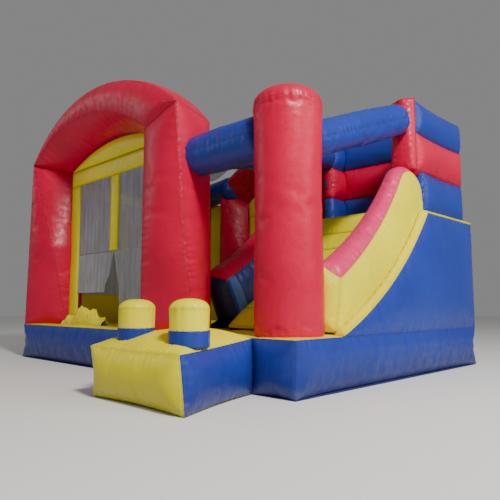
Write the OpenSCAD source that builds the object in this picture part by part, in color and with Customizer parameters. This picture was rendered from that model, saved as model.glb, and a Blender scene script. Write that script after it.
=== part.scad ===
// Inflatable bounce house with a slide: welded fabric air cells on one inflated base.
// The origin is the centre of the base's underside, +X right, +Y back, +Z up.

/* [Base] */
// Width of the base from left to right
base_w = 4920; // [4860:20:4980]
// Depth of the base from front to back
base_d = 3480; // [3460:10:3500]
// Height of the base when inflated
base_h = 450; // [440:5:460]
// Thickness of the fabric skin, seams included
skin = 5; // [4:0.5:6]
// Gap left for the seam between two neighbouring cells
seam = 1; // [0.5:0.5:2]

/* [Front arch] */
// Distance of the arch's centre from the middle of the base, to the left
arch_x = 775; // [760:5:790]
// Overall width of the arch
arch_w = 3450; // [3430:10:3460]
// Width of each leg
leg_w = 560; // [540:10:580]
// Depth of the legs and of the crown
arch_d = 580; // [560:10:590]
// Height of the arch's crown above the ground
arch_top = 3420; // [3400:10:3440]

/* [Columns and beams] */
// Radius of the front corner column
column_r = 305; // [290:5:310]
// Height of the column's top above the ground
column_top = 2630; // [2600:10:2660]
// Radius of the front beam
front_beam_r = 205; // [195:5:210]
// Radius of the slide's side beam
side_beam_r = 180; // [170:5:190]
// Radius of the beams around the jumping area
roof_beam_r = 210; // [200:5:215]

/* [Slide] */
// Height of the slide body's level top above the ground
crest_z = 1720; // [1700:10:1740]
// Radius of the slide's hollow curve
slide_r = 4000; // [3800:100:4400]
// Thickness of the lane's air cells
lane_h = 100; // [90:5:110]
// Height of the side bolsters above the slide body
bolster_h = 550; // [530:10:560]
// Number of cells along the lane
lane_cells = 7; // [5:1:9]

/* [Step] */
// Height of the step at its front edge
step_h = 395; // [380:5:410]
// Radius of the bollards on the step
bollard_r = 150; // [140:5:155]
// Height of the bollards above the step
bollard_h = 345; // [320:5:360]

/* [Door and walls] */
// Thickness of the netting and window panels
panel_t = 10; // [8:1:12]
// Width of the vinyl stiles beside the windows
stile_w = 240; // [230:5:250]
// Height of the window sills above the ground
sill_z = 880; // [860:10:900]
// Height of the window heads above the ground
head_z = 2380; // [2360:10:2400]

/* [Inflation sleeve] */
// Inside radius of the sleeve that takes the blower's nozzle
sleeve_r = 140; // [130:5:145]
// Length of the sleeve behind the base
sleeve_l = 660; // [600:20:700]

/* [Hidden] */
$fn = 72;

red = [0.85, 0.08, 0.20];
blue = [0.16, 0.27, 0.62];
yellow = [0.96, 0.88, 0.20];
mesh_grey = [0.62, 0.63, 0.66];
webbing = [0.08, 0.12, 0.30];
steel = [0.75, 0.76, 0.78];

right_x = base_w / 2;
left_x = -right_x;
back_y = base_d / 2;
front_y = -back_y;

// Front arch: outer and inner arcs of the crown, and where they spring from the legs
arch_front = front_y + 10;
arch_back = arch_front + arch_d;
outer_spring = 2765;
inner_spring = 2600;
inner_top = 2850;
arch_l = -arch_x - arch_w / 2;
arch_r = -arch_x + arch_w / 2;

// Rear arch around the window behind the jumping area
rear_x = -510;
rear_w = 2220;
rear_leg_w = 520;
rear_front = 1160;
rear_d = 520;
rear_back = rear_front + rear_d;
rear_outer_spring = 2720;
rear_top = 3150;
rear_inner_spring = 2430;
rear_inner_top = 2650;
rear_head_z = 2200;
rear_l = rear_x - rear_w / 2;
rear_r = rear_x + rear_w / 2;

column = [2100, -1380];
post = [-2270, 1540];
post_r = 170;
post_top = 2960;
roof_z = 2710;

// Beams: their rounded ends, and where their middle lines run
beam_dome = 60;
front_beam_y = -1400;
front_beam_z = 2250;
side_beam_front = [2130, column[1] + 100, 2160];
side_beam_back = [2194, 438, 2805];
left_beam_x = -2240;
left_wall_x = -2250;
rear_wall_y = 1430;

// Slide: side profile in the YZ plane, from the foot to the crest
foot = [-1110, base_h];
crest = [550, crest_z];
body_l = 650;
lane_l = 1000;
lane_r = 2050;
strip_l = 2362;
bolster_front = -1050;
// Share of the curve's length: a lane cell's end wall, and the gap on each side of a cell's seam
cell_wall = 0.006;
cell_gap = 0.004;
// Share of the curve at which the lane clears the column, and the edge strip clears the floor
lane_start = 0.035;
strip_start = 0.01;
run = crest - foot;
mid_angle = atan2(run[1], run[0]);
half_angle = asin(norm(run) / 2 / slide_r);
foot_angle = mid_angle - half_angle;
crest_angle = mid_angle + half_angle;

// Tower around the platform at the slide's head
tower_back = 1440;
tower_left_front = 1150;
tower_front = 550;
tower_low_front = 680;
end_post_front = 470;
tower_left_w = 145;
band_z = [crest_z + 2, 2216, 2650, 3020];
tower_r = strip_l - 2;
right_beam_front = [700, arch_back + 15, 2400];
right_beam_back = [727, tower_left_front - 15, 2820];

// Step
step_front = -2680;
step_plan = [[1000, front_y - 2], [2010, front_y - 2], [2280, step_front], [1150, step_front]];
bollards = [[1370, -2420], [2040, -2420]];
band_h = 80;

// Door
door_y = -1340;
door_l = arch_l + leg_w;
door_r = arch_r - leg_w;
flap_z = 1395;
flap_gap = 7;
flap_inset = stile_w + 6;
mullion = [-900, -700];
net_t = panel_t - 4;
// Gap between an arched panel and the crown above it
panel_gap = 3;
foot_z = base_h + seam;

// Openings and fittings on the back wall
sleeve = [-1300, 165];
zip_x = [900, 1500];
zip_z = 300;

// Webbing anchors: position on the wall, and the turn of the wall's outward side
anchor_z = 140;
anchor_off = 8;
ring_wire = 3;
ring_r = 28;
loop_gap = 0.6;
anchors = [[left_x, -1450, 90], [left_x, 1450, 90], [600, back_y, 0], [2250, back_y, 0]];

// ---------- shared shapes ----------

module slab(lo, hi) translate(lo) cube(hi - lo);

module air_box(lo, hi) difference() {
    slab(lo, hi);
    slab(lo + skin * [1, 1, 1], hi - skin * [1, 1, 1]);
}

// Extrudes an XZ outline along Y, or a YZ outline along X
module along_y(y0, y1) translate([0, y1, 0]) rotate([90, 0, 0]) linear_extrude(y1 - y0) children();
module along_x(x0, x1) translate([x0, 0, 0]) rotate([90, 0, 90]) linear_extrude(x1 - x0) children();

// Points of an arc
function arc(centre, r, a0, a1, n) =
    [for (i = [0:n]) let (a = a0 + (a1 - a0) * i / n) centre + r * [cos(a), sin(a)]];

function reversed(list) = [for (i = [len(list) - 1:-1:0]) list[i]];

// Half outline of a tube with a rounded end at each end, inset by the skin for its inside
function tube_outline(r, l, dome, inset) = concat(
    [for (a = [-90:15:0]) [(r - inset) * cos(a), dome + (dome - inset) * sin(a)]],
    [for (a = [0:15:90]) [(r - inset) * cos(a), l - dome + (dome - inset) * sin(a)]]);

// Inflated tube between two points
module air_tube(p, q, r, dome = 60) {
    d = q - p;
    l = norm(d);
    translate(p) rotate([0, acos(d[2] / l), atan2(d[1], d[0])]) rotate_extrude()
        polygon(concat(tube_outline(r, l, dome, 0), reversed(tube_outline(r, l, dome, skin))));
}

// Half outline of an upright cell with a flat foot and a rounded shoulder
function post_outline(r, h, shoulder, crown, inset) = concat(
    [[0, inset], [r - inset, inset]],
    [for (a = [0:15:90]) [r - shoulder, h - crown - shoulder] + (shoulder - inset) * [cos(a), sin(a)]],
    [[0, h - inset]]);

module air_post(at, z0, z1, r, shoulder, crown) translate([at[0], at[1], z0]) rotate_extrude()
    polygon(concat(post_outline(r, z1 - z0, shoulder, crown, 0),
        reversed(post_outline(r, z1 - z0, shoulder, crown, skin))));

// Arch leg: outer edge at x0, inner edge at x1, with a sloping top for the crown's seam
function leg_outline(x0, x1, outer_z, inner_z, inset) =
    let (s = x1 > x0 ? inset : -inset)
    [[x0 + s, base_h + inset], [x1 - s, base_h + inset],
        [x1 - s, inner_z - inset], [x0 + s, outer_z - inset]];

module arch_leg(x0, x1, outer_z, inner_z, y0, y1) difference() {
    along_y(y0, y1) polygon(leg_outline(x0, x1, outer_z, inner_z, 0));
    along_y(y0 + skin, y1 - skin) polygon(leg_outline(x0, x1, outer_z, inner_z, skin));
}

// Radius of the arc that rises by h over a chord of half width w
function arc_radius(w, h) = (w * w + h * h) / (2 * h);

function crown_outline(xc, w, wall, zo, zi, top, inner_top, inset) =
    let (ro = arc_radius(w / 2, top - zo),
        ri = arc_radius(w / 2 - wall, inner_top - zi),
        ao = asin((zo + seam + inset - top + ro) / (ro - inset)),
        ai = asin((zi + seam + inset - inner_top + ri) / (ri + inset)))
    concat(arc([xc, top - ro], ro - inset, 180 - ao, ao, 16),
        arc([xc, inner_top - ri], ri + inset, ai, 180 - ai, 12));

module arch_crown(xc, w, wall, zo, zi, top, inner_top, y0, y1) difference() {
    along_y(y0, y1) polygon(crown_outline(xc, w, wall, zo, zi, top, inner_top, 0));
    along_y(y0 + skin, y1 - skin) polygon(crown_outline(xc, w, wall, zo, zi, top, inner_top, skin));
}

// ---------- base ----------

module ground_sheet() color(blue)
    slab([left_x, front_y, 0], [right_x, back_y, skin]);

module base_walls() color(blue) {
    z0 = skin + seam;
    z1 = base_h - skin - seam;
    inner_x = right_x - skin;
    slab([left_x, front_y, z0], [-inner_x, back_y, z1]);
    slab([inner_x, front_y, z0], [right_x, back_y, z1]);
    slab([seam - inner_x, front_y, z0], [inner_x - seam, front_y + skin, z1]);
    difference() {
        slab([seam - inner_x, back_y - skin, z0], [inner_x - seam, back_y, z1]);
        translate([sleeve[0], back_y - 2 * skin, sleeve[1]]) rotate([-90, 0, 0])
            cylinder(r = sleeve_r, h = 4 * skin);
    }
}

module floor_top() color(yellow)
    slab([left_x, front_y, base_h - skin], [right_x, back_y, base_h]);

// Tension webs that hold the base flat
module base_baffles() color(blue)
    for (x = [-2000:500:2000])
        slab([x, front_y + 150, skin + seam], [x + skin - 2, back_y - 300, base_h - skin - seam]);

// ---------- step ----------

module step_shape(plan, inset) intersection() {
    translate([0, 0, inset]) linear_extrude(base_h) polygon(plan);
    along_x(900, 2400) polygon([[front_y + inset, 0], [front_y + inset, base_h - inset],
        [step_front + 40, step_h - inset], [step_front, step_h - 60], [step_front, 0]]);
}

// The step's plan drawn in on all sides
function inset_plan(d) = [step_plan[0] + [d, -d], step_plan[1] + [-d, -d],
    step_plan[2] + [-1.3 * d, d], step_plan[3] + [1.2 * d, d]];

module step_block() color(yellow) difference() {
    step_shape(inset_plan(4), 0);
    step_shape(inset_plan(4 + skin), skin);
}

module step_side_panels() color(blue) {
    p = step_plan;
    step_shape([p[1] - [3, 0], p[1], p[2], p[2] - [3, 0]], 0);
    step_shape([p[0], p[0] + [3, 0], p[3] + [3, 0], p[3]], 0);
}

// Height of the step's sloping top below a bollard
function step_z(y) = step_h + (base_h - step_h) * (y - step_front - 40) / (front_y - step_front - 40);

module bollard(i) color(yellow) {
    z = step_z(bollards[i][1] - bollard_r) + 20;
    air_post(bollards[i], z, z + bollard_h, bollard_r - 4, 90, 25);
}
module bollard_left() bollard(0);
module bollard_right() bollard(1);

module bollard_bands() color(blue) for (at = bollards)
    translate([at[0], at[1], step_z(at[1] - bollard_r) + 20]) difference() {
        cylinder(r = bollard_r, h = band_h);
        translate([0, 0, -1]) cylinder(r = bollard_r - 3, h = band_h + 2);
    }

// ---------- columns, arches and beams ----------

module corner_column() color(red) air_post(column, base_h, column_top, column_r, 130, 30);
module back_left_post() color(red) air_post(post, base_h, post_top, post_r, 90, 20);

module front_leg_left() color(red)
    arch_leg(arch_l, arch_l + leg_w, outer_spring, inner_spring, arch_front, arch_back);
module front_leg_right() color(red)
    arch_leg(arch_r, arch_r - leg_w, outer_spring, inner_spring, arch_front, arch_back);
module front_crown() color(red)
    arch_crown(-arch_x, arch_w, leg_w, outer_spring, inner_spring, arch_top, inner_top,
        arch_front, arch_back);

module rear_leg_left() color(red)
    arch_leg(rear_l, rear_l + rear_leg_w, rear_outer_spring, rear_inner_spring, rear_front, rear_back);
module rear_leg_right() color(red)
    arch_leg(rear_r, rear_r - rear_leg_w, rear_outer_spring, rear_inner_spring, rear_front, rear_back);
module rear_crown() color(red)
    arch_crown(rear_x, rear_w, rear_leg_w, rear_outer_spring, rear_inner_spring, rear_top, rear_inner_top,
        rear_front, rear_back);

// Upright cutter that fits a beam's end to a round post
module post_cutter(at, r) translate([at[0], at[1], 0]) cylinder(r = r + seam, h = 3500);

module front_beam() color(blue) difference() {
    air_tube([arch_r + seam, front_beam_y, front_beam_z], [column[0], front_beam_y, front_beam_z],
        front_beam_r, 2 * beam_dome);
    post_cutter(column, column_r);
}
module side_beam() color(blue) difference() {
    air_tube(side_beam_front, side_beam_back, side_beam_r, beam_dome);
    post_cutter(column, column_r);
}
module left_beam() color(blue) difference() {
    air_tube([left_beam_x, arch_back + seam, roof_z], [left_beam_x, post[1], roof_z],
        roof_beam_r, beam_dome);
    post_cutter(post, post_r);
}
module rear_beam() color(blue) difference() {
    air_tube([post[0], rear_wall_y, roof_z], [rear_l - seam, rear_wall_y, roof_z],
        roof_beam_r, 1.5 * beam_dome);
    post_cutter(post, post_r);
    left_beam_cutter();
}
module left_beam_cutter() translate([left_beam_x, post[1], roof_z]) rotate([90, 0, 0])
    cylinder(r = roof_beam_r + seam, h = 400);
module right_beam() color(blue)
    air_tube(right_beam_front, right_beam_back, side_beam_r, beam_dome);

// ---------- slide and tower ----------

// Point on the slide's curve; t runs from the foot to the crest, and d lifts it square to the curve
function slide_angle(t) = foot_angle + (crest_angle - foot_angle) * t;
function slide_point(t, d = 0) = let (a = slide_angle(t))
    foot + slide_r * [sin(a) - sin(foot_angle), cos(foot_angle) - cos(a)] + d * [-sin(a), cos(a)];
function slide_curve(d, t0 = 0, t1 = 1, n = 16) = [for (i = [0:n]) slide_point(t0 + (t1 - t0) * i / n, d)];

// Share of the curve at the end of i cells, counted from a start share
function along_curve(start, i) = start + (1 - start) * i / lane_cells;

// Outline of the slide body's side, from the base's top to the level of the tower's floor
module side_outline(inset = 0)
    polygon(concat(slide_curve(-inset), [[back_y, crest_z - inset], [back_y, base_h + seam]]));

module slide_side_right() color(blue) along_x(right_x - skin, right_x) side_outline();
module slide_side_left() color(blue) along_x(body_l, body_l + skin) side_outline();

module slide_back_panel() color(blue)
    slab([body_l + skin + seam, back_y - skin, foot_z],
        [right_x - skin - seam, back_y, crest_z - skin - seam]);

// Upright webs inside the slide body
module slide_baffles() color(blue)
    for (x = [960:360:2160]) along_x(x, x + 3) intersection() {
        side_outline(2 * skin);
        translate([foot[0] + 120, base_h + 2]) square([back_y - foot[0] - 132, crest_z - base_h]);
    }

// Yellow strip along the outer edge of the body, beside the bolster
module slide_edge_strip() color(yellow) {
    for (i = [0:lane_cells - 1]) {
        t0 = along_curve(strip_start, i + cell_gap);
        t1 = along_curve(strip_start, i + 1 - cell_gap);
        along_x(strip_l, right_x - skin - seam)
            polygon([slide_point(t0, -skin), slide_point(t1, -skin), slide_point(t1), slide_point(t0)]);
    }
    slab([strip_l, crest[0] + seam, crest_z - skin], [right_x - skin - seam, back_y, crest_z]);
}

// One crosswise air cell of the lane; the lowest one tapers into the floor
function lane_lift(t) = lane_h * min(1, 0.1 + 5 * t);
module lane_cell(t0, t1) difference() {
    along_x(lane_l + seam, lane_r - seam) polygon([slide_point(t0, 0), slide_point(t1, 0),
        slide_point(t1, lane_lift(t1)), slide_point(t0, lane_lift(t0))]);
    along_x(lane_l + seam + skin, lane_r - seam - skin) polygon([
        slide_point(t0 + cell_wall, skin), slide_point(t1 - cell_wall, skin),
        slide_point(t1 - cell_wall, lane_lift(t1) - skin),
        slide_point(t0 + cell_wall, max(lane_lift(t0) - skin, skin + 1))]);
}
module slide_lane() color(yellow)
    for (i = [0:lane_cells - 1])
        lane_cell(along_curve(lane_start, i + cell_gap), along_curve(lane_start, i + 1 - cell_gap));

// Platform at the head of the slide, with the landing beside the climbing ramp
module platform() color(yellow) {
    z0 = crest_z + seam;
    z1 = crest_z + lane_h;
    air_box([lane_l + seam, crest[0] + 30, z0], [lane_r - seam, tower_back - seam, z1]);
    air_box([body_l + skin, left_bolster_end + 6, z0], [lane_l, tower_left_front - seam, z1]);
    air_box([body_l + skin + tower_left_w + seam, tower_left_front, z0], [lane_l, tower_back - seam, z1]);
}

// Share of the slide's curve at which an arc of radius r about the same centre reaches y
function curve_share(y, r) =
    (asin((y - foot[0] + slide_r * sin(foot_angle)) / r) - foot_angle) / (crest_angle - foot_angle);

// Bolster: follows the curve, then rounds over behind the crest
function bolster_outline(straight, round_r, inset) =
    let (a = crest_angle,
        top_end = slide_point(1, bolster_h) + straight * [cos(a), sin(a)],
        centre = top_end + round_r * [sin(a), -cos(a)],
        t_top = curve_share(bolster_front + inset, slide_r - bolster_h + inset),
        t_low = curve_share(bolster_front + inset, slide_r - inset))
    concat(slide_curve(seam + inset, t_low), [[centre[0] + round_r - inset, crest_z + seam + inset]],
        arc(centre, round_r - inset, 0, 90 + a, 10), reversed(slide_curve(bolster_h - inset, t_top, 1)));

module bolster(x0, x1, straight, round_r) difference() {
    along_x(x0, x1) polygon(bolster_outline(straight, round_r, 0));
    along_x(x0 + skin, x1 - skin) polygon(bolster_outline(straight, round_r, skin));
}
left_round = 220;
left_bolster_end = slide_point(1, bolster_h)[0] + left_round * (1 + sin(crest_angle));
module bolster_right() color(red) bolster(lane_r, tower_r, 60, 290);
module bolster_left() color(blue) bolster(body_l, lane_l, 0, left_round);

// One level of the tower's wall: right, back and left bars of inflated tube
module tower_band(i, front) {
    z0 = band_z[i] + seam;
    z1 = band_z[i + 1] - seam;
    air_box([lane_r + 10, front, z0], [tower_r, back_y, z1]);
    air_box([body_l + tower_left_w + seam, tower_back, z0], [lane_r + 9, back_y, z1]);
    air_box([body_l + seam, tower_left_front, z0], [body_l + tower_left_w, back_y, z1]);
}
module tower_band_low() color(blue) tower_band(0, tower_low_front);
module tower_band_mid() color(red) tower_band(1, tower_front);
module tower_band_top() color(blue) tower_band(2, tower_front);

module tower_end_post() color(red)
    air_box([lane_r + 10, end_post_front, band_z[1] + seam], [tower_r, tower_front - seam, band_z[3] + 30]);

// ---------- climbing wall ----------

ramp_x = [-50, body_l - 2];
ramp_y = [left_bolster_end + 8, tower_left_front - 6];
ramp_rise = crest_z + lane_h - base_h;
ramp_slope = atan2(ramp_rise, ramp_x[1] - ramp_x[0]);
module ramp_outline(inset) polygon([[ramp_x[0] + 3 * inset, base_h + inset],
    [ramp_x[1] - inset, base_h + inset], [ramp_x[1] - inset, base_h + ramp_rise - 3 * inset]]);

module climb_ramp() color(red) difference() {
    along_y(ramp_y[0], ramp_y[1]) ramp_outline(0);
    along_y(ramp_y[0] + skin, ramp_y[1] - skin) ramp_outline(skin);
}

// Half-round steps across the ramp
step_r = 60;
step_count = 4;
module climb_steps() color(blue)
    for (i = [1:step_count]) {
        h = ramp_rise * i / (step_count + 1);
        difference() {
            translate([ramp_x[0] + h / tan(ramp_slope), ramp_y[0] + step_r, base_h + h]) rotate([-90, 0, 0])
                cylinder(r = step_r, h = ramp_y[1] - ramp_y[0] - 2 * step_r);
            along_y(ramp_y[0], ramp_y[1]) polygon([[ramp_x[0] - seam, base_h], [ramp_x[1] + 200, base_h],
                [ramp_x[1] + 200, base_h + ramp_rise + 400], [ramp_x[1] - seam, base_h + ramp_rise]]);
        }
    }

// Webbing handles on the end of the tower's left wall
handle_z = [2010, 2330];
module grab_handles() color(webbing) {
    y = tower_left_front;
    for (z = handle_z) along_x(body_l + 52, body_l + 92) difference() {
        polygon([[y, z], [y - 45, z + 25], [y - 45, z + 135], [y, z + 160]]);
        polygon([[y + 1, z + 6], [y - 41, z + 29], [y - 41, z + 131], [y + 1, z + 154]]);
    }
}

// ---------- door and walls ----------

// A row of upright bars and windows: bar edges in pairs, between two heights
module bars(edges, z0, z1, t) for (e = edges) along_y(-t / 2, t / 2)
    polygon([[e[0] + seam, z0], [e[1] - seam, z0], [e[1] - seam, z1], [e[0] + seam, z1]]);

module door_header() {
    w = (door_r - door_l) / 2;
    ri = arc_radius(w, inner_top - inner_spring);
    translate([0, door_y, 0]) along_y(-panel_t / 2, panel_t / 2) intersection() {
        translate([-arch_x, inner_top - ri]) circle(r = ri - panel_gap);
        translate([door_l + seam, head_z]) square([2 * w - 2 * seam, inner_top - head_z]);
    }
}

module door_frame() color(yellow) {
    door_header();
    translate([0, door_y, 0]) {
        bars([[door_l, door_l + stile_w], [door_r - stile_w, door_r]], foot_z, head_z - seam, panel_t);
        bars([mullion], flap_z + flap_gap, head_z - seam, panel_t);
    }
}

module door_windows() color(mesh_grey) translate([0, door_y, 0])
    bars([[door_l + stile_w, mullion[0]], [mullion[1], door_r - stile_w]],
        flap_z + flap_gap, head_z - seam, net_t);

// Door flaps, drawn apart along the centre slit as they hang
module flap(points) translate([0, door_y, 0]) along_y(-panel_t / 2, panel_t / 2) polygon(points);
module door_flap_left() color(mesh_grey)
    flap([[door_l + flap_inset, flap_z], [door_l + flap_inset, sill_z], [-1000, sill_z], [-985, 960],
        [-900, 1100], [-825, 1340], [-803, flap_z]]);
module door_flap_right() color(mesh_grey)
    flap([[door_r - flap_inset, flap_z], [-797, flap_z], [-775, 1330], [-720, 1100], [-670, 880],
        [-640, 530], [door_r - flap_inset, 530]]);

// Loose cloth gathered in a heap along the sill
module door_sill_cloth() color(yellow) air_box([-1900, -1480, foot_z], [-830, -1348, 600]);

// Plan direction of the left wall
module on_left_wall() translate([left_wall_x, 0, 0]) rotate([0, 0, 90]) children();
left_wall = [arch_back + seam, post[1] - post_r - 30];
left_wall_head = roof_z - roof_beam_r - 2;
left_mullions = [-340, 560];
mullion_w = 160;
side_stile_w = 180;
wall_head = 60;
left_net = [left_wall[0] + side_stile_w, left_wall[1] - side_stile_w];
net_z = [sill_z + seam, head_z - wall_head - seam];
module left_wall_frame() color(yellow) on_left_wall() {
    bars([left_wall], foot_z, sill_z, panel_t);
    bars([left_wall], head_z - wall_head, left_wall_head, panel_t);
    bars([[left_wall[0], left_net[0]], [left_net[1], left_wall[1]]], net_z[0], net_z[1], panel_t);
    bars([for (y = left_mullions) [y, y + mullion_w]], net_z[0], net_z[1], panel_t);
}
module left_wall_nets() color(mesh_grey) on_left_wall()
    bars([[left_net[0], left_mullions[0]], [left_mullions[0] + mullion_w, left_mullions[1]],
        [left_mullions[1] + mullion_w, left_net[1]]], net_z[0], net_z[1], net_t);

module rear_wall_frame() color(yellow) {
    l = rear_l + rear_leg_w;
    r = rear_r - rear_leg_w;
    w = (r - l) / 2;
    ri = arc_radius(w, rear_inner_top - rear_inner_spring);
    translate([0, rear_wall_y, 0]) {
        along_y(-panel_t / 2, panel_t / 2) intersection() {
            translate([rear_x, rear_inner_top - ri]) circle(r = ri - panel_gap);
            translate([l + seam, rear_head_z]) square([2 * w - 2 * seam, rear_inner_top - rear_head_z]);
        }
        bars([[l, r]], foot_z, sill_z, panel_t);
        bars([[l, l + side_stile_w], [r - side_stile_w, r]], sill_z + seam, rear_head_z - seam, panel_t);
        bars([[post[0] + post_r + 12, rear_l]], foot_z, roof_z - roof_beam_r - 2, panel_t);
    }
}
module rear_wall_nets() color(mesh_grey) translate([0, rear_wall_y, 0])
    bars([[rear_l + rear_leg_w + side_stile_w, rear_r - rear_leg_w - side_stile_w]],
        sill_z + seam, rear_head_z - seam, net_t);

// Roof netting: strips between a curve on the front arch and a curve on the rear arch
roof_strips = 8;
net_gap = 0.001;
roof_z_left = 2925;
roof_z_right = [2600, 3012];
roof_rise = [330, 150];
function roof_edge(s, x1, y, i) =
    [lerp(left_wall_x, x1, s), y, lerp(roof_z_left, roof_z_right[i], s) + 4 * roof_rise[i] * s * (1 - s)];
function roof_front(s) = roof_edge(s, right_beam_front[0], arch_back + 2, 0);
function roof_back(s) = roof_edge(s, right_beam_back[0], tower_left_front - 4, 1);
function lerp(a, b, s) = a + (b - a) * s;
module roof_strip(s0, s1) {
    low = [roof_front(s0), roof_front(s1), roof_back(s1), roof_back(s0)];
    polyhedron(concat(low, [for (p = low) p + [0, 0, net_t]]),
        [[0, 1, 3], [1, 2, 3], [7, 5, 4], [7, 6, 5], [0, 4, 1], [4, 5, 1], [1, 5, 2], [5, 6, 2],
            [2, 6, 3], [6, 7, 3], [3, 7, 0], [7, 4, 0]]);
}
module roof_net() color(mesh_grey)
    for (i = [0:roof_strips - 1]) roof_strip((i + net_gap) / roof_strips, (i + 1 - net_gap) / roof_strips);

// ---------- fittings on the back wall ----------

module sleeve_ring(r0, r1, y0, y1) translate([sleeve[0], y0, sleeve[1]]) rotate([-90, 0, 0]) difference() {
    cylinder(r = r1, h = y1 - y0);
    translate([0, 0, -1]) cylinder(r = r0, h = y1 - y0 + 2);
}
module inflation_sleeve() color(blue)
    sleeve_ring(sleeve_r, sleeve_r + skin, back_y + seam, back_y + seam + sleeve_l);
module sleeve_tie() color(webbing) {
    y = back_y + sleeve_l - 110;
    sleeve_ring(sleeve_r + skin + seam, sleeve_r + skin + seam + 3, y, y + 38);
    slab([sleeve[0] - 25, y - 4, sleeve[1] + sleeve_r + skin + seam + 4],
        [sleeve[0] + 25, y + 42, sleeve[1] + sleeve_r + 24]);
}

// Deflation zip: two tapes, a head strip for the cover, the slider and the cover flap
module zip_tapes() color(webbing) {
    y = back_y + seam;
    slab([zip_x[0], y, zip_z + 3], [zip_x[1], y + 2, zip_z + 25]);
    slab([zip_x[0], y, zip_z - 25], [zip_x[1], y + 2, zip_z - 3]);
    slab([zip_x[0] - 20, y, zip_z + 43], [zip_x[1] + 20, y + 19, zip_z + 52]);
}
module zip_slider() color(steel) {
    y = back_y + seam + 3;
    slab([zip_x[0] + 12, y, zip_z - 9], [zip_x[0] + 36, y + 8, zip_z + 9]);
    slab([zip_x[0] + 8, y + 8, zip_z - 5], [zip_x[0] + 52, y + 10, zip_z + 5]);
}
module zip_flap() color(blue)
    slab([zip_x[0] - 20, back_y + 17, zip_z - 40], [zip_x[1] + 20, back_y + 19, zip_z + 40]);

// Puts an anchor's parts, drawn for a wall that faces +Y, where they belong
module at_anchor(i) translate([anchors[i][0], anchors[i][1], anchor_z]) rotate([0, 0, anchors[i][2]])
    translate([0, anchor_off, 0]) children();

// Webbing folded around the ring's bar and stitched to the wall
module anchor_tabs() color(webbing)
    for (i = [0:len(anchors) - 1]) at_anchor(i) {
        difference() {
            union() {
                rotate([0, 90, 0]) cylinder(r = ring_wire + loop_gap + 2, h = 40, center = true);
                slab([-20, seam - anchor_off, 0], [20, 3 - anchor_off, 110]);
                slab([-20, seam - anchor_off, 0], [20, 0, 5]);
            }
            rotate([0, 90, 0]) cylinder(r = ring_wire + loop_gap, h = 50, center = true);
        }
    }

// D-ring that hangs in its webbing
module d_ring(i) color(steel) at_anchor(i) {
    rotate([0, 90, 0]) cylinder(r = ring_wire, h = 2 * ring_r, center = true);
    rotate([90, 0, 0]) rotate([0, 0, 180]) rotate_extrude(angle = 180) translate([ring_r, 0])
        circle(r = ring_wire, $fn = 24);
    for (s = [-1, 1]) translate([s * ring_r, 0, 0]) sphere(r = ring_wire, $fn = 24);
}
module anchor_ring_left_front() d_ring(0);
module anchor_ring_left_back() d_ring(1);
module anchor_ring_back_middle() d_ring(2);
module anchor_ring_back_right() d_ring(3);

ground_sheet();
base_walls();
floor_top();
base_baffles();
step_block();
step_side_panels();
bollard_left();
bollard_right();
bollard_bands();
corner_column();
back_left_post();
front_leg_left();
front_leg_right();
front_crown();
rear_leg_left();
rear_leg_right();
rear_crown();
front_beam();
side_beam();
left_beam();
rear_beam();
right_beam();
tower_band_low();
tower_band_mid();
tower_band_top();
tower_end_post();
slide_lane();
platform();
slide_side_right();
slide_side_left();
slide_edge_strip();
slide_back_panel();
slide_baffles();
bolster_right();
bolster_left();
climb_ramp();
climb_steps();
grab_handles();
door_frame();
door_windows();
door_flap_left();
door_flap_right();
door_sill_cloth();
left_wall_frame();
left_wall_nets();
rear_wall_frame();
rear_wall_nets();
roof_net();
inflation_sleeve();
sleeve_tie();
zip_tapes();
zip_slider();
zip_flap();
anchor_tabs();
anchor_ring_left_front();
anchor_ring_left_back();
anchor_ring_back_middle();
anchor_ring_back_right();
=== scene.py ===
"""Looks of the inflatable bounce house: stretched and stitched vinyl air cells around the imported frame."""
import math

import bmesh
import bpy
import numpy as np
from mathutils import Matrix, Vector


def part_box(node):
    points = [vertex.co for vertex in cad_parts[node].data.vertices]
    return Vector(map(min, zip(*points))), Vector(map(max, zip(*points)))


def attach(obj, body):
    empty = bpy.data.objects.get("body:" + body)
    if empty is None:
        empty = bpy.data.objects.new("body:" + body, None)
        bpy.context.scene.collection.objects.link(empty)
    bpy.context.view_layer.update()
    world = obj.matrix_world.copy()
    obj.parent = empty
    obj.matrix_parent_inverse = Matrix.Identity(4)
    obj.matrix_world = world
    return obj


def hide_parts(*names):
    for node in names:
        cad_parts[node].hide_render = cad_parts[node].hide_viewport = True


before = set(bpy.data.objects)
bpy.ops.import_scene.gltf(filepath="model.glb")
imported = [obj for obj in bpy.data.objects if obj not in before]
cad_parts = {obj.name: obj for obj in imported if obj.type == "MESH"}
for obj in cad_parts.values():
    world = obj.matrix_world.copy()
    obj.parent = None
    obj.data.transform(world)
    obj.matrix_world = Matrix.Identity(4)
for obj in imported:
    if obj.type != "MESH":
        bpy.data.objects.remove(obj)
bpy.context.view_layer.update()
ROOT = "house"
HALF_PI = math.pi / 2

# ---------- camera, light and floor ----------

scene = bpy.context.scene
camera_data = bpy.data.cameras.new("camera")
camera_data.sensor_width = 36.0
camera_data.lens = 37.4
camera = bpy.data.objects.new("camera", camera_data)
camera.location = (4.977, -4.817, 0.716)
camera.rotation_euler = (math.radians(96.05), 0, math.radians(44.2))
scene.collection.objects.link(camera)
scene.camera = camera


def area_light(name, at, target, size, power):
    data = bpy.data.lights.new(name, "AREA")
    data.size = size
    data.color = (1.0, 0.97, 0.92)
    data.energy = power
    lamp = bpy.data.objects.new(name, data)
    lamp.location = at
    lamp.rotation_euler = (Vector(target) - Vector(at)).to_track_quat("-Z", "Y").to_euler()
    scene.collection.objects.link(lamp)


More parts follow.
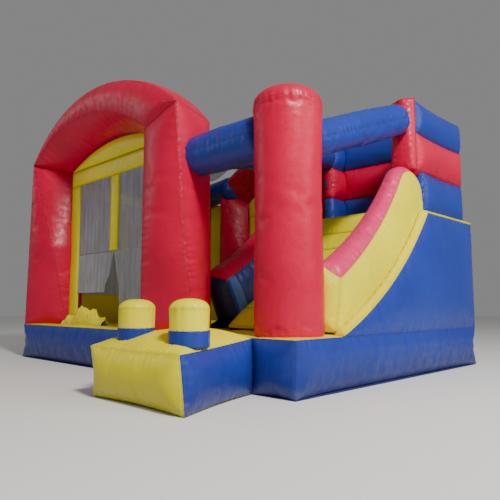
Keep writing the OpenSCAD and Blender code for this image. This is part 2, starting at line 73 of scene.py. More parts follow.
area_light("key", (8.6, -3.8, 8.2), (0, 0, 1.2), 1.5, 1150)
area_light("fill_right", (9.0, 1.0, 4.5), (1.5, 0, 1.2), 4.0, 200)
area_light("fill_left", (-7.5, -6.0, 5.0), (-1.0, 0, 1.5), 4.0, 70)
world = bpy.data.worlds.new("studio")
world.use_nodes = True
world.node_tree.nodes["Background"].inputs["Color"].default_value = (1, 1, 1, 1)
world.node_tree.nodes["Background"].inputs["Strength"].default_value = 0.24
scene.world = world

# ---------- materials ----------


class Graph:
    """Short calls for building a material's nodes."""

    def __init__(self, name):
        self.material = bpy.data.materials.new(name)
        self.material.use_nodes = True
        self.tree = self.material.node_tree
        self.shader = self.tree.nodes["Principled BSDF"]

    def node(self, kind, inputs=(), **settings):
        made = self.tree.nodes.new(kind)
        for key, value in settings.items():
            setattr(made, key, value)
        for key, value in dict(inputs).items():
            self.put(made.inputs[key], value)
        return made

    def put(self, socket, value):
        if isinstance(value, bpy.types.NodeSocket):
            self.tree.links.new(value, socket)
        else:
            socket.default_value = value

    def set(self, name, value):
        self.put(self.shader.inputs[name], value)

    def math(self, operation, a, b=0.0, c=0.0):
        return self.node("ShaderNodeMath", {0: a, 1: b, 2: c}, operation=operation).outputs[0]

    def attribute(self, name):
        return self.node("ShaderNodeAttribute", attribute_name=name).outputs["Fac"]

    def position(self, scale=(1, 1, 1)):
        at = self.node("ShaderNodeTexCoord").outputs["Object"]
        return self.node("ShaderNodeMapping", {"Vector": at, "Scale": scale}).outputs[0]

    def noise(self, scale, detail=3.0, stretch=(1, 1, 1), distortion=0.0):
        inputs = {"Vector": self.position(stretch), "Scale": scale, "Detail": detail,
                  "Distortion": distortion}
        return self.node("ShaderNodeTexNoise", inputs).outputs["Fac"]

    def threads(self, direction, scale):
        """Parallel ridges."""
        inputs = {"Vector": self.position(), "Scale": scale}
        made = self.node("ShaderNodeTexWave", inputs, wave_type="BANDS", bands_direction=direction)
        return made.outputs["Fac"]

    def ramp(self, value, low, high, out_low=0.0, out_high=1.0):
        inputs = dict(enumerate((value, low, high, out_low, out_high)))
        return self.node("ShaderNodeMapRange", inputs, interpolation_type="SMOOTHSTEP").outputs[0]

    def mix(self, factor, a, b):
        return self.node("ShaderNodeMix", {0: factor, 6: a, 7: b}, data_type="RGBA").outputs[2]

    def bump(self, height, strength, distance, under=None):
        inputs = {"Height": height, "Strength": strength, "Distance": distance}
        if under is not None:
            inputs["Normal"] = under
        return self.node("ShaderNodeBump", inputs).outputs[0]


def shade(colour, factor):
    return (*[min(1.0, c * factor) for c in colour], 1.0)


STITCH_AT = 0.014
STITCH_HALF = 0.0022
STITCH_PITCH = 0.011
SCRIM_SCALE = 180.0
PUCKERS = 92.0
SHADE_TO_Z = 0.42


def vinyl(name, colour, roughness=0.36):
    """Coated fabric: woven scrim, faded patches, puckers, a stitched row on each side of a seam, painted
    shade that darkens it toward the ground, and dust at its foot."""
    g = Graph(name)
    seam, along = g.attribute("seam"), g.attribute("along")
    patches = g.noise(1.3, 4.0)
    base = g.mix(g.ramp(patches, 0.35, 0.68), shade(colour, 0.90), shade(colour, 1.07))
    scuffs = g.noise(16.0, 6.0, distortion=0.6)
    base = g.mix(g.ramp(scuffs, 0.62, 0.80, 0.0, 0.28), base, shade(colour, 0.72))
    edge = g.ramp(seam, 0.0, 0.03, 0.45, 0.0)
    base = g.mix(edge, base, shade(colour, 0.62))
    height = g.node("ShaderNodeSeparateXYZ", {0: g.position()}).outputs[2]
    # painted shade: the colour darkens toward the ground up to SHADE_TO_Z, standing in for the shade near the
    # floor
    base = g.mix(g.ramp(height, 0.0, SHADE_TO_Z, 0.62, 0.0), base, shade(colour, 0.40))
    dust = g.math("MULTIPLY", g.ramp(height, 0.01, 0.12, 0.30, 0.0), g.noise(7.0, 5.0))
    base = g.mix(dust, base, (0.30, 0.27, 0.22, 1))
    off_row = g.math("ABSOLUTE", g.math("SUBTRACT", seam, STITCH_AT))
    row = g.math("LESS_THAN", off_row, STITCH_HALF)
    dash = g.math("LESS_THAN", g.math("FRACT", g.math("DIVIDE", along, STITCH_PITCH)), 0.62)
    stitch = g.math("MULTIPLY", row, dash)
    base = g.mix(g.math("MULTIPLY", stitch, 0.8), base, shade(colour, 1.35))
    g.set("Base Color", base)
    g.set("Roughness", g.ramp(scuffs, 0.3, 0.8, roughness - 0.05, roughness + 0.16))
    g.set("Specular IOR Level", 0.34)
    weave = g.math("MULTIPLY", g.threads("DIAGONAL", SCRIM_SCALE), g.threads("Z", SCRIM_SCALE))
    normal = g.bump(weave, 0.10, 0.0006)
    creases = g.math("MULTIPLY", g.noise(5.0, 4.0, distortion=1.2), g.ramp(seam, 0.0, 0.5, 1.0, 0.35))
    normal = g.bump(creases, 0.30, 0.020, normal)
    fan = g.math("ADD", along, g.math("MULTIPLY", patches, 0.16))
    fan = g.math("SINE", g.math("MULTIPLY", fan, PUCKERS))
    fade = g.math("POWER", 2.718, g.math("MULTIPLY", seam, -15.0))
    fan = g.math("MULTIPLY", fan, g.ramp(g.noise(2.6, 2.0), 0.40, 0.66, 0.15, 1.0))
    normal = g.bump(g.math("MULTIPLY", fan, fade), 0.26, 0.010, normal)
    normal = g.bump(stitch, 0.5, 0.0015, normal)
    g.set("Normal", normal)
    return g.material


def netting(name, colour):
    """Flat woven tape netting with a ribbed weave and slightly uneven dye."""
    g = Graph(name)
    tone = g.ramp(g.noise(22.0, 3.0, (1, 1, 0.15)), 0.35, 0.65)
    g.set("Base Color", g.mix(tone, shade(colour, 0.86), shade(colour, 1.12)))
    g.set("Roughness", g.ramp(g.noise(60.0), 0.3, 0.7, 0.62, 0.82))
    g.set("Sheen Weight", 0.15)
    g.set("Normal", g.bump(g.noise(420.0, 2.0), 0.35, 0.0006))
    return g.material


def webbing(name, colour):
    """Ribbed nylon webbing."""
    g = Graph(name)
    rib = g.threads("DIAGONAL", 120.0)
    g.set("Base Color", g.mix(rib, shade(colour, 0.75), shade(colour, 1.3)))
    g.set("Roughness", g.ramp(g.noise(90.0), 0.3, 0.7, 0.55, 0.75))
    g.set("Normal", g.bump(rib, 0.5, 0.0012))
    return g.material


def zinc(name):
    """Zinc-plated wire with handling marks."""
    g = Graph(name)
    marks = g.noise(180.0, 5.0, (1, 1, 4))
    g.set("Base Color", g.mix(marks, (0.50, 0.51, 0.53, 1), (0.82, 0.83, 0.85, 1)))
    g.set("Roughness", g.ramp(marks, 0.3, 0.7, 0.22, 0.45))
    g.set("Metallic", 1.0)
    g.set("Normal", g.bump(marks, 0.2, 0.0004))
    return g.material


RED = vinyl("vinyl_red", (0.62, 0.0, 0.046))
# painted highlight: a lighter pink copy of the red for the sunlit top of the right bolster
RED_LIT_TOP = vinyl("vinyl_red_painted_highlight", (0.78, 0.030, 0.150))
BLUE = vinyl("vinyl_blue", (0.016, 0.042, 0.33))
# painted shade: a darker copy of the blue for the shaded front end of the left bolster
BLUE_SHADED = vinyl("vinyl_blue_painted_shade", (0.008, 0.018, 0.12))
SKY = vinyl("vinyl_blue_light", (0.06, 0.16, 0.58))
YELLOW = vinyl("vinyl_yellow", (0.90, 0.79, 0.0))
NET = netting("netting_grey", (0.30, 0.31, 0.36))
NET_LIGHT = netting("netting_light", (0.44, 0.45, 0.50))
WEBBING = webbing("webbing_navy", (0.02, 0.03, 0.12))
ZINC = zinc("zinc_plate")

# ---------- building stretched fabric ----------

GRID = 0.035
FIRM, SOFT = 4.0, 3.0
PRESSURES = {}


def line(p, q, n):
    """n steps from p to q, closer together near both ends, where the fabric puckers."""
    u = np.linspace(0, 1, n + 1)
    u = 0.6 * u + 0.4 * (0.5 - 0.5 * np.cos(math.pi * u))
    return np.asarray(p, float) + u[:, None] * (np.asarray(q, float) - np.asarray(p, float))


def lengths(points):
    return np.concatenate([[0], np.cumsum(np.linalg.norm(np.diff(points, axis=0), axis=1))])


def resample(points, n):
    """The same line with n steps, spaced as line() spaces them."""
    points = np.asarray(points, float)
    run = lengths(points)
    at = line([0.0], [run[-1]], n)[:, 0]
    return np.stack([np.interp(at, run, points[:, k]) for k in range(3)], axis=1)


class Fabric:
    """Panels sewn into one piece: points, faces, and each point's distance from and place along its seam."""

    def __init__(self):
        self.points, self.faces, self.mats = [], [], []
        self.seam, self.along, self.slots = [], [], []

    def index(self, material):
        if material not in self.slots:
            self.slots.append(material)
        return self.slots.index(material)

    def add_grid(self, grid, seam, along, material, flip=False, wrap=False):
        """material is one material, or a function that picks one for each row."""
        start = sum(len(p) for p in self.points)
        rows, cols = grid.shape[:2]
        self.points.append(grid.reshape(-1, 3))
        self.seam.append(np.asarray(seam, float).reshape(-1))
        self.along.append(np.asarray(along, float).reshape(-1))
        for i in range(rows - 1):
            slot = self.index(material(i / (rows - 1)) if callable(material) else material)
            for j in range(cols if wrap else cols - 1):
                k = (j + 1) % cols
                quad = [start + i * cols + j, start + (i + 1) * cols + j]
                quad += [start + (i + 1) * cols + k, start + i * cols + k]
                self.faces.append(quad[::-1] if flip else quad)
                self.mats.append(slot)

    def patch(self, a, b, c, d, bulge, material, out, spread=0.5):
        """Panel between edges a and b (both from c to d), swollen by bulge on the side that out points to."""
        rows, cols = len(a), len(c)
        u = (lengths(a) / max(lengths(a)[-1], 1e-9))[:, None, None]
        v = (lengths(c) / max(lengths(c)[-1], 1e-9))[None, :, None]
        if lengths(c)[-1] < 1e-6:
            v = (lengths(d) / lengths(d)[-1])[None, :, None]
        if lengths(a)[-1] < 1e-6:
            u = (lengths(b) / lengths(b)[-1])[:, None, None]
        grid = (1 - v) * a[:, None] + v * b[:, None] + (1 - u) * c[None] + u * d[None]
        grid -= (1 - u) * (1 - v) * a[0] + u * (1 - v) * a[-1] + (1 - u) * v * b[0] + u * v * b[-1]
        rim, place = [], []
        for k, edge in enumerate((a, b, c, d)):
            if lengths(edge)[-1] > 1e-6:
                fine = resample(edge, 4 * len(edge))
                rim.append(fine)
                place.append(lengths(fine) + 0.37 * k)
        rim, place = np.concatenate(rim), np.concatenate(place)
        flat = grid.reshape(-1, 3)
        seam, along = np.empty(len(flat)), np.empty(len(flat))
        for i in range(0, len(flat), 2000):
            gap = np.linalg.norm(flat[i:i + 2000, None] - rim[None], axis=2)
            nearest = gap.argmin(axis=1)
            seam[i:i + 2000] = gap[np.arange(len(nearest)), nearest]
            along[i:i + 2000] = place[nearest]
        by_row = seam.reshape(rows, cols)
        by_row[[0, -1]] = 0.0
        by_row[:, [0, -1]] = 0.0
        du, dv = np.gradient(grid, axis=0), np.gradient(grid, axis=1)
        normal = np.cross(du, dv)
        size = np.linalg.norm(normal, axis=2, keepdims=True)
        mean = normal.sum(axis=(0, 1))
        sign = 1.0 if mean @ np.asarray(out, float) > 0 else -1.0
        mean = sign * mean / max(np.linalg.norm(mean), 1e-12)
        normal = np.where(size > 1e-9, sign * normal / np.maximum(size, 1e-9), mean)
        reach = max(seam.max() * 2 * spread, 1e-6)
        dome = 1 - (1 - np.minimum(1, seam / reach)) ** 2
        pucker = 0.0020 * (0.55 + 0.45 * np.sin(along * 2.3 + 0.8)) * (seam / 0.05) * np.exp(1 - seam / 0.05)
        pucker *= np.sin(along * 2 * math.pi / 0.105 + 1.7 * np.sin(along * 7.1)) * min(1, bulge / 0.02)
        wave = np.sin(flat @ (5.1, 3.7, 4.3) + 1.1) * np.sin(flat @ (-3.1, 5.3, 2.9) + 0.4)
        lift = bulge * dome + pucker + 0.12 * bulge * wave * dome
        grid = grid + normal * lift.reshape(rows, cols, 1)
        self.add_grid(grid, seam, along, material, flip=sign < 0)
        return grid

    def build(self, name, slot, nodes, body=ROOT, merge=2e-4):
        """The finished object: panels joined at their seams, with smooth shading and seam attributes."""
        mesh = bpy.data.meshes.new(name)
        mesh.from_pydata(np.concatenate(self.points).tolist(), [], self.faces)
        for key, values in (("seam", self.seam), ("along", self.along)):
            mesh.attributes.new(key, "FLOAT", "POINT").data.foreach_set("value", np.concatenate(values))
        for material in self.slots:
            mesh.materials.append(material)
        mesh.polygons.foreach_set("material_index", self.mats)
        sew(mesh, merge)
        mesh.polygons.foreach_set("use_smooth", [True] * len(mesh.polygons))
        made = bpy.data.objects.new(name, mesh)
        scene.collection.objects.link(made)
        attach(made, body)
        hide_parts(*nodes)
        return made

    def cover(self, node, slot, fill=0.95, air=0.0, name=None, **how):
        """The finished padded piece over a packed one; where air is given, that pressure settles it later."""
        name = name or node + "_cover"
        self.build(name, slot, [node], **how)
        if air:
            PRESSURES[name] = air


def coordinates(mesh):
    flat = np.empty(len(mesh.vertices) * 3)
    mesh.vertices.foreach_get("co", flat)
    return flat.reshape(-1, 3)


def sew(mesh, merge):
    bm = bmesh.new()
    bm.from_mesh(mesh)
    bmesh.ops.remove_doubles(bm, verts=bm.verts, dist=merge)
    bmesh.ops.dissolve_degenerate(bm, edges=bm.edges, dist=merge / 4)
    bm.to_mesh(mesh)
    bm.free()


def quad(fabric, near, far, counts, bulge, material, out, spread=0.5):
    """Panel with four straight seams; near and far are the ends of two facing ones."""
    (a, b), (c, d) = near, far
    across = [line(p, q, counts[0]) for p, q in (near, far)]
    fabric.patch(*across, line(a, c, counts[1]), line(b, d, counts[1]), bulge, material, out, spread)


def cell(fabric, corners, counts, bulge, materials, caps=(0.02, 0.02), draw=0.0, spread=0.5):
    """Air cell swept along four corner lines; bulge is for sides 0-1, 1-2, 2-3 and 3-0, and so are the
    materials, which may go on with the two ends."""
    corners = [np.array(c, float) for c in corners]
    middle = sum(corners) / 4
    run = lengths(middle) / max(lengths(middle)[-1], 1e-9)
    pull = (draw * 4 * run * (1 - run))[:, None]
    corners = [c + (middle - c) * pull for c in corners]
    centre = middle.mean(axis=0)
    ends = [[line(corners[k][e], corners[(k + 1) % 4][e], counts[k % 2]) for k in range(4)] for e in (0, -1)]
    for k in range(4):
        a, b = corners[k], corners[(k + 1) % 4]
        out = (a + b).mean(axis=0) / 2 - centre
        fabric.patch(a, b, ends[0][k], ends[1][k], bulge[k], materials[k], out, spread)
    for e, edge in enumerate(ends):
        out = (middle[0] - middle[1]) if e == 0 else (middle[-1] - middle[-2])
        material = materials[4 + e] if len(materials) > 4 else materials[0]
        fabric.patch(edge[0], edge[2][::-1], edge[3][::-1], edge[1], caps[e], material, out)


def box_cell(fabric, low, high, axis, step, bulge, materials, caps=(0.02, 0.02), draw=0.0):
    """Air cell in a box, swept along axis."""
    low, high = np.array(low, float), np.array(high, float)
    side, up = [k for k in range(3) if k != axis]
    plan = [(low[side], low[up]), (high[side], low[up]), (high[side], high[up]), (low[side], high[up])]
    corners = []
    for s, u in plan:
        p, q = np.zeros(3), np.zeros(3)
        p[side] = q[side] = s
        p[up] = q[up] = u
        p[axis], q[axis] = low[axis], high[axis]
        corners.append(line(p, q, steps(high[axis] - low[axis], step)))
    counts = (steps(high[side] - low[side], step), steps(high[up] - low[up], step))
    cell(fabric, corners, counts, bulge, materials, caps, draw)


def steps(size, step):
    return max(3, int(round(abs(size) / step)))


def tube(fabric, p, q, radius, material, domes, around, seams, step=0.03, foot=0.0, phase=0.0):
    """Round air cell with domed ends; foot pinches its start, where it is sewn down flat."""
    p, q = np.array(p, float), np.array(q, float)
    axis = q - p
    size = np.linalg.norm(axis)
    axis /= size
    side = np.cross(axis, (0, 0, 1)) if abs(axis[2]) < 0.9 else np.array([1.0, 0, 0])
    side /= np.linalg.norm(side)
    up = np.cross(side, axis)
    dome = np.linspace(0.02, HALF_PI, 9)[:-1]
    rise, widen = 1 - np.cos(dome), np.sin(dome) ** 0.8
    body = line([domes[0]], [size - domes[1]], steps(size - sum(domes), step))[:, 0]
    at = np.append(body, (size - domes[1] * rise)[::-1])
    grow = np.append(np.ones(len(body)), widen[::-1])
    if domes[0] > 0:
        at, grow = np.append(domes[0] * rise, at), np.append(widen, grow)
    turn = np.linspace(0, 2 * math.pi, around, endpoint=False)
    pinch = 1 - foot * np.exp(-at / 0.07)
    to_seam = np.abs(((turn - phase) * seams / (2 * math.pi) + 0.5) % 1 - 0.5) * 2 * math.pi / seams * radius
    ring = np.minimum(np.abs(at - domes[0]), np.abs(at - size + domes[1]))[:, None]
    fold = 0.007 * np.exp(-ring / 0.05) * np.sin(26 * turn + 2.0 * np.sin(3 * turn))[None]
    r = radius * (grow * pinch)[:, None] - 0.010 * np.exp(-(to_seam / 0.03) ** 2)[None]
    r = np.maximum(r + fold * grow[:, None] * min(1, radius / 0.2), 0.0005)
    r = r + 0.006 * np.sin(at * 4.3 + p[0] * 3)[:, None] * np.cos(2 * turn + 0.5)[None] * grow[:, None]
    spokes = np.cos(turn)[:, None] * side + np.sin(turn)[:, None] * up
    grid = p + at[:, None, None] * axis + r[:, :, None] * spokes[None]
    seam = np.minimum(to_seam[None], ring + 0 * to_seam[None])
    along = np.where(to_seam[None] < ring, at[:, None] + 0 * turn, radius * turn[None] + 0 * at[:, None])
    fabric.add_grid(grid, seam, along, material, wrap=True)


SEAM_TURN = math.radians(-40)


def upright(name, node, slot, material, shoulder, around, air=0.0):
    """Post with a domed top in the node's box; returns where it stands and its radius."""
    low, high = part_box(node)
    at, radius = ((low.x + high.x) / 2, (low.y + high.y) / 2), (high.x - low.x) / 2
    ends = (*at, low.z), (*at, high.z)
    fabric = Fabric()
    tube(fabric, *ends, radius, material, (0.0, shoulder), around, 2, foot=0.05, phase=SEAM_TURN)
    fabric.cover(node, slot, air=air, name=name)
    return ends[0], radius


# ---------- base ----------

ground_low, ground_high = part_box("ground_sheet")
base_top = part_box("floor_top")[1].z
left, front, right, back = ground_low.x, ground_low.y, ground_high.x, ground_high.y
step_low, step_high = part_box("step_block")
SIDE_SWELL = 0.05
FOOT = 0.006


def gathered_corner(x, y):
    """Upright seam, which at the base's own corners is drawn in and zigzags where the fabric is gathered."""
    post = line((x, y, FOOT), (x, y, base_top), 18)
    if abs(abs(x) - right) < 0.01:
        share = lengths(post) / lengths(post)[-1]
        inward = 0.022 * np.sin(math.pi * share) * (1 + 0.14 * np.sin(22 * share))
        post += np.outer(inward, (-math.copysign(1, x), -math.copysign(1, y), 0))
    return post


def base_side(fabric, p, q, out, swell=SIDE_SWELL):
    """One wall panel; its middle is drawn up and in a little at the ground, between gathered corners."""
    n = steps(math.dist(p, q), GRID)
    low, high = line((*p, FOOT), (*q, FOOT), n), line((*p, base_top), (*q, base_top), n)
    gap = np.minimum(lengths(low), lengths(low)[-1] - lengths(low))
    slack = 1 - np.exp(-gap / 0.18)
    low += np.outer(slack, (-0.045 * out[0], -0.045 * out[1], 0.008))
    posts = [gathered_corner(*low[e][:2]) for e in (0, -1)]
    fabric.patch(low, high, posts[0], posts[1], swell, BLUE, (*out, 0))


walls = Fabric()
FRONT_JOINTS = [left, 0.9995, 2.0105, right]
for x0, x1 in zip(FRONT_JOINTS, FRONT_JOINTS[1:]):
    base_side(walls, (x0, front), (x1, front), (0, -1), 0.01 if x0 > 0.5 and x1 < 2.2 else SIDE_SWELL)
base_side(walls, (right, front), (right, back), (1, 0))
base_side(walls, (left, back), (right, back), (0, 1))
base_side(walls, (left, front), (left, back), (-1, 0))
walls.cover("base_walls", "vinyl_blue", air=FIRM, name="base_wall_panels", merge=1e-3)



def level(x0, x1, z):
    """The front and back edges of a level strip of the base."""
    return [((x0, y, z), (x1, y, z)) for y in (front, back)]


floor = Fabric()
WEB_PITCH = 0.5
edges_x = [left, *np.arange(-2.0, 2.01, WEB_PITCH), right]
for x0, x1 in zip(edges_x, edges_x[1:]):
    quad(floor, *level(x0, x1, base_top), (steps(x1 - x0, GRID), 90), 0.012, YELLOW, (0, 0, 1))
floor.cover("floor_top", "vinyl_yellow", name="floor_panels")

sheet = Fabric()
quad(sheet, *level(left, right, 0.003), (60, 40), 0.0, BLUE, (0, 0, -1))
bottom = sheet.build("ground_cloth", "vinyl_blue", ["ground_sheet"])

# ---------- step and bollards ----------

STEP_DRAW = 0.022
STEP_TOPS = (base_top, base_top, 0.395, 0.395)
back_plan = [(1.004, front), (2.006, front)]
foot_plan = back_plan + [(step_high.x + 0.04, step_low.y), (step_low.x + 0.17, step_low.y)]
top_plan = back_plan + [(step_high.x - 0.02, step_low.y), (step_low.x + 0.10, step_low.y)]
foot_ring = [np.array((*p, FOOT)) for p in foot_plan]
top_ring = [np.array((*p, z - 0.004)) for p, z in zip(top_plan, STEP_TOPS)]


def bowed(p, q, n, inward, amount):
    """A seam that the panels' pressure draws inward between its ends."""
    points = line(p, q, n)
    share = lengths(points) / lengths(points)[-1]
    return points + np.outer(amount * np.sin(math.pi * share), inward)


n_side, n_front, n_up = steps(0.95, GRID), steps(1.1, GRID), steps(0.42, GRID)


def step_seams(ring, inward, rise):
    """The right, front and left seams around the step."""
    return (bowed(ring[1], ring[2], n_side, (-inward, 0, rise), STEP_DRAW),
            bowed(ring[3], ring[2], n_front, (0, inward, rise), STEP_DRAW),
            bowed(ring[0], ring[3], n_side, (inward, 0, rise), STEP_DRAW))


low_r, low_f, low_l = step_seams(foot_ring, 0.7, 0.5)
top_r, top_f, top_l = step_seams(top_ring, 0.8, -0.4)
post = [bowed(foot_ring[k], top_ring[k], n_up, inward, 0.016)
        for k, inward in enumerate([(0, 0, 0), (0, 0, 0), (-0.7, 0.7, 0), (0.7, 0.7, 0)])]
back_low, back_top = (line(ring[0], ring[1], n_front) for ring in (foot_ring, top_ring))
step_fabric = Fabric()
step_fabric.patch(low_f, top_f, post[3], post[2], 0.065, YELLOW, (0, -1, 0))
step_fabric.patch(top_f, back_top, top_l[::-1], top_r[::-1], 0.108, YELLOW, (0, 0, 1))
step_fabric.patch(low_f, back_low, low_l[::-1], low_r[::-1], 0.0, YELLOW, (0, 0, -1))
step_fabric.cover("step_block", "vinyl_yellow", 0.9, FIRM, "step_cover")
step_sides = Fabric()
step_sides.patch(low_r, top_r, post[1], post[2], 0.055, BLUE, (1, 0, 0))
step_sides.patch(low_l, top_l, post[0], post[3], 0.055, BLUE, (-1, 0, 0))
step_sides.cover("step_side_panels", "vinyl_blue", 0.9, FIRM, "step_side_covers")

BAND_H = 0.125
bands = Fabric()
for side in ("left", "right"):
    at, radius = upright("bollard_cover_" + side, "bollard_" + side, "vinyl_yellow", YELLOW, 0.075, 48)
    band_top = (at[0], at[1], at[2] + BAND_H)
    tube(bands, at, band_top, radius + 0.004, BLUE, (0.0, 0.012), 48, 2, 0.02, phase=SEAM_TURN)
bands.cover("bollard_bands", "vinyl_blue", 0.5, name="bollard_band_covers")

# ---------- columns and beams ----------

for node, shoulder in (("corner_column", 0.16), ("back_left_post", 0.11)):
    upright(node + "_cover", node, "vinyl_red", RED, shoulder, 72, SOFT)


def beam(node, p, q, radius, domes=(0.06, 0.06), air=SOFT):
    fabric = Fabric()
    tube(fabric, p, q, radius, BLUE, domes, 56, 4)
    fabric.cover(node, "vinyl_blue", air=air)


front_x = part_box("front_beam")[0].x - 0.15
column_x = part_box("corner_column")[0].x + 0.06
beam("front_beam", (front_x, -1.42, 2.25), (column_x, -1.40, 2.25), 0.205, (0.12, 0.05))
beam("side_beam", (2.13, -1.15, 2.205), (2.194, 0.438, 2.805), 0.18, (0.05, 0.06))
BEAM_Z = 2.71
low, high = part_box("left_beam")
beam("left_beam", (-2.24, low.y, BEAM_Z), (-2.24, high.y, BEAM_Z), 0.21)
low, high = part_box("rear_beam")
beam("rear_beam", (low.x - 0.03, 1.43, BEAM_Z), (high.x + 0.33, 1.26, BEAM_Z), 0.20, (0.05, 0.11))
beam("right_beam", (0.70, -1.135, 2.40), (0.727, 1.135, 2.82), 0.18, air=0.0)

# ---------- arches ----------


def leg(node, turns, insets, drop, mirrored):
    """Arch leg whose front seam wanders; turns gives its (across, back) shares from the foot to the top.
    insets draws in its left edge at the foot and top, then its back right edge; its top slopes by drop."""
    low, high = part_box(node)
    tops = (high.z, high.z - drop) if not mirrored else (high.z - drop, high.z)
    n = steps(high.z - low.z, GRID)
    wide, deep = high.x - low.x, high.y - low.y
    share = (line((low.x, 0, low.z), (low.x, 0, high.z), n)[:, 2] - low.z) / (high.z - low.z)

    def edge(xs, ys):
        x, y = np.interp(share, (0, 0.5, 1), xs), np.interp(share, (0, 0.5, 1), ys)
        top = tops[0] + (tops[1] - tops[0]) * (x - low.x) / wide
        return np.stack([x, y, low.z + (top - low.z) * share], axis=1)

    outer = low.x + np.array((insets[0], (insets[0] + insets[1]) / 2, insets[1]))
    inner = high.x - np.array((insets[2], (insets[2] + insets[3]) / 2, insets[3]))
    front_y, back_y = np.full(3, low.y), np.full(3, high.y)
    seam_x = low.x + np.array([t[0] for t in turns]) * wide
    seam_y = low.y + np.array([t[1] for t in turns]) * deep
    corners = [edge(outer, front_y), edge(np.maximum(seam_x, outer + 0.02), seam_y), edge(inner, back_y),
               edge(outer, back_y)]
    fabric = Fabric()
    cell(fabric, corners, (18, 18), (0.06, 0.05, 0.04, 0.04), [RED] * 4, (0.0, 0.0))
    fabric.cover(node, "vinyl_red", air=FIRM)


def arc_radius(half_width, height):
    return (half_width ** 2 + height ** 2) / (2 * height)


def arch_line(centre_x, half_width, spring, top, y, n):
    """Arc over the arch from its left spring to its right one."""
    r = arc_radius(half_width, top - spring)
    a = math.asin(half_width / r)
    turn = np.linspace(-a, a, n + 1)
    return np.stack([centre_x + r * np.sin(turn), np.full(n + 1, y), top - r + r * np.cos(turn)], axis=1)


def crown(node, wall, springs, inner_top, cuts, bulge, insets):
    """Arch crown: its front lower edge is cut back by a share of the wall, from the left end to the right.
    insets draws in its outer edge at the left end and the right one, to meet the legs."""
    low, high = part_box(node)
    n = steps(1.15 * (high.x - low.x), GRID)
    centre, half = (low.x + high.x) / 2, (high.x - low.x) / 2
    outer = [arch_line(centre, half, springs[0] - 0.04, high.z - 0.04, y, n) for y in (low.y, high.y)]
    spread = (outer[0][:, 0] - centre) / half
    for edge, right_inset in zip(outer, (0.0, insets[1])):
        draw = np.where(spread < 0, insets[0], right_inset)
        edge[:, 0] -= np.sign(spread) * draw * np.abs(spread) ** 1.5
        slope = (springs[0] - springs[1]) / wall
        edge[:, 2] += 0.04 * np.abs(spread) ** 3 - draw * slope * np.abs(spread) ** 4
    inner = [arch_line(centre, half - wall, springs[1], inner_top, y, n) for y in (low.y, high.y)]
    share = np.interp(np.linspace(0, 1, n + 1), (0, 0.5, 1), cuts)[:, None]
    inner[0] = inner[0] + (outer[0] - inner[0]) * share
    fabric = Fabric()
    cell(fabric, [outer[0], inner[0], inner[1], outer[1]], (16, 18), bulge, [RED] * 4, (0.0, 0.0))
    fabric.cover(node, "vinyl_red", air=FIRM)


LEFT_TURNS = [(1.0, 0.62), (0.98, 0.20), (0.06, 0.0)]
RIGHT_TURNS = [(1.0, 0.42), (1.0, 0.16), (1.0, 0.0)]
CUTS = (0.84, 0.44, 0.05)
leg("front_leg_left", LEFT_TURNS, (0.05, 0.11, 0.0, 0.0), 0.165, False)
leg("front_leg_right", RIGHT_TURNS, (0.0, 0.0, 0.11, 0.16), 0.165, True)
crown("front_crown", 0.56, (2.765, 2.60), 2.85, CUTS, (0.05, 0.05, 0.05, 0.03), (0.11, 0.16))
leg("rear_leg_left", LEFT_TURNS, (0.04, 0.08, 0.0, 0.0), 0.29, False)
leg("rear_leg_right", RIGHT_TURNS, (0.0, 0.0, 0.06, 0.10), 0.29, True)
crown("rear_crown", 0.52, (2.72, 2.43), 2.65, CUTS, (0.05, 0.04, 0.05, 0.03), (0.08, 0.10))

# ---------- tower ----------

BODY_LEFT, LANE_LEFT, LANE_RIGHT = 0.65, 1.0, 2.05
LOW_BAND_FRONT = 0.68
for node, material, slot in (("tower_band_low", BLUE, "vinyl_blue"), ("tower_band_mid", RED, "vinyl_red"),
                             ("tower_band_top", BLUE, "vinyl_blue")):
    low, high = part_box(node)
    fabric = Fabric()
    front_end = LOW_BAND_FRONT if node == "tower_band_low" else low.y
    bars = [((LANE_RIGHT + 0.01, front_end, low.z), (high.x, high.y, high.z), 1),
            ((BODY_LEFT + 0.146, 1.44, low.z), (LANE_RIGHT + 0.009, high.y, high.z), 0),
            ((BODY_LEFT + 0.001, 1.15, low.z), (BODY_LEFT + 0.145, high.y, high.z), 1)]
    for low_at, high_at, axis in bars:
        box_cell(fabric, low_at, high_at, axis, 0.04, [0.06] * 4, [material] * 6, (0.035, 0.035), 0.07)
    fabric.cover(node, slot, air=FIRM)

low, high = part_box("tower_end_post")
fabric = Fabric()
n = steps(high.z - low.z, GRID)
taper = [line((low.x + 0.02, low.y, low.z), (high.x - 0.16, low.y, high.z), n),
         line((high.x - 0.01, low.y, low.z), (high.x - 0.10, low.y, high.z), n),
         line((high.x, high.y, low.z), (high.x, high.y, high.z), n),
         line((low.x, high.y, low.z), (low.x, high.y, high.z), n)]
cell(fabric, taper, (12, 6), (0.02, 0.012, 0.01, 0.012), [RED] * 4, (0.0, 0.01))
fabric.cover("tower_end_post", "vinyl_red", 0.9)

# ---------- slide ----------

SLIDE_R = 4.0
CREST_Z = 1.72
FOOT_AT, CREST_AT = np.array((-1.11, base_top)), np.array((0.55, CREST_Z))
chord = CREST_AT - FOOT_AT
middle_angle = math.atan2(chord[1], chord[0])
half_angle = math.asin(np.linalg.norm(chord) / 2 / SLIDE_R)
ANGLES = (middle_angle - half_angle, middle_angle + half_angle)
BOLSTER_H = 0.55
BOLSTER_FRONT = -1.05


def slide_point(t, lift=0.0):
    """(y, z) on the slide's curve, from foot 0 to crest 1, lifted square to it."""
    a = ANGLES[0] + (ANGLES[1] - ANGLES[0]) * t
    y = FOOT_AT[0] + SLIDE_R * (math.sin(a) - math.sin(ANGLES[0])) - lift * math.sin(a)
    z = FOOT_AT[1] + SLIDE_R * (math.cos(ANGLES[0]) - math.cos(a)) + lift * math.cos(a)
    return y, z


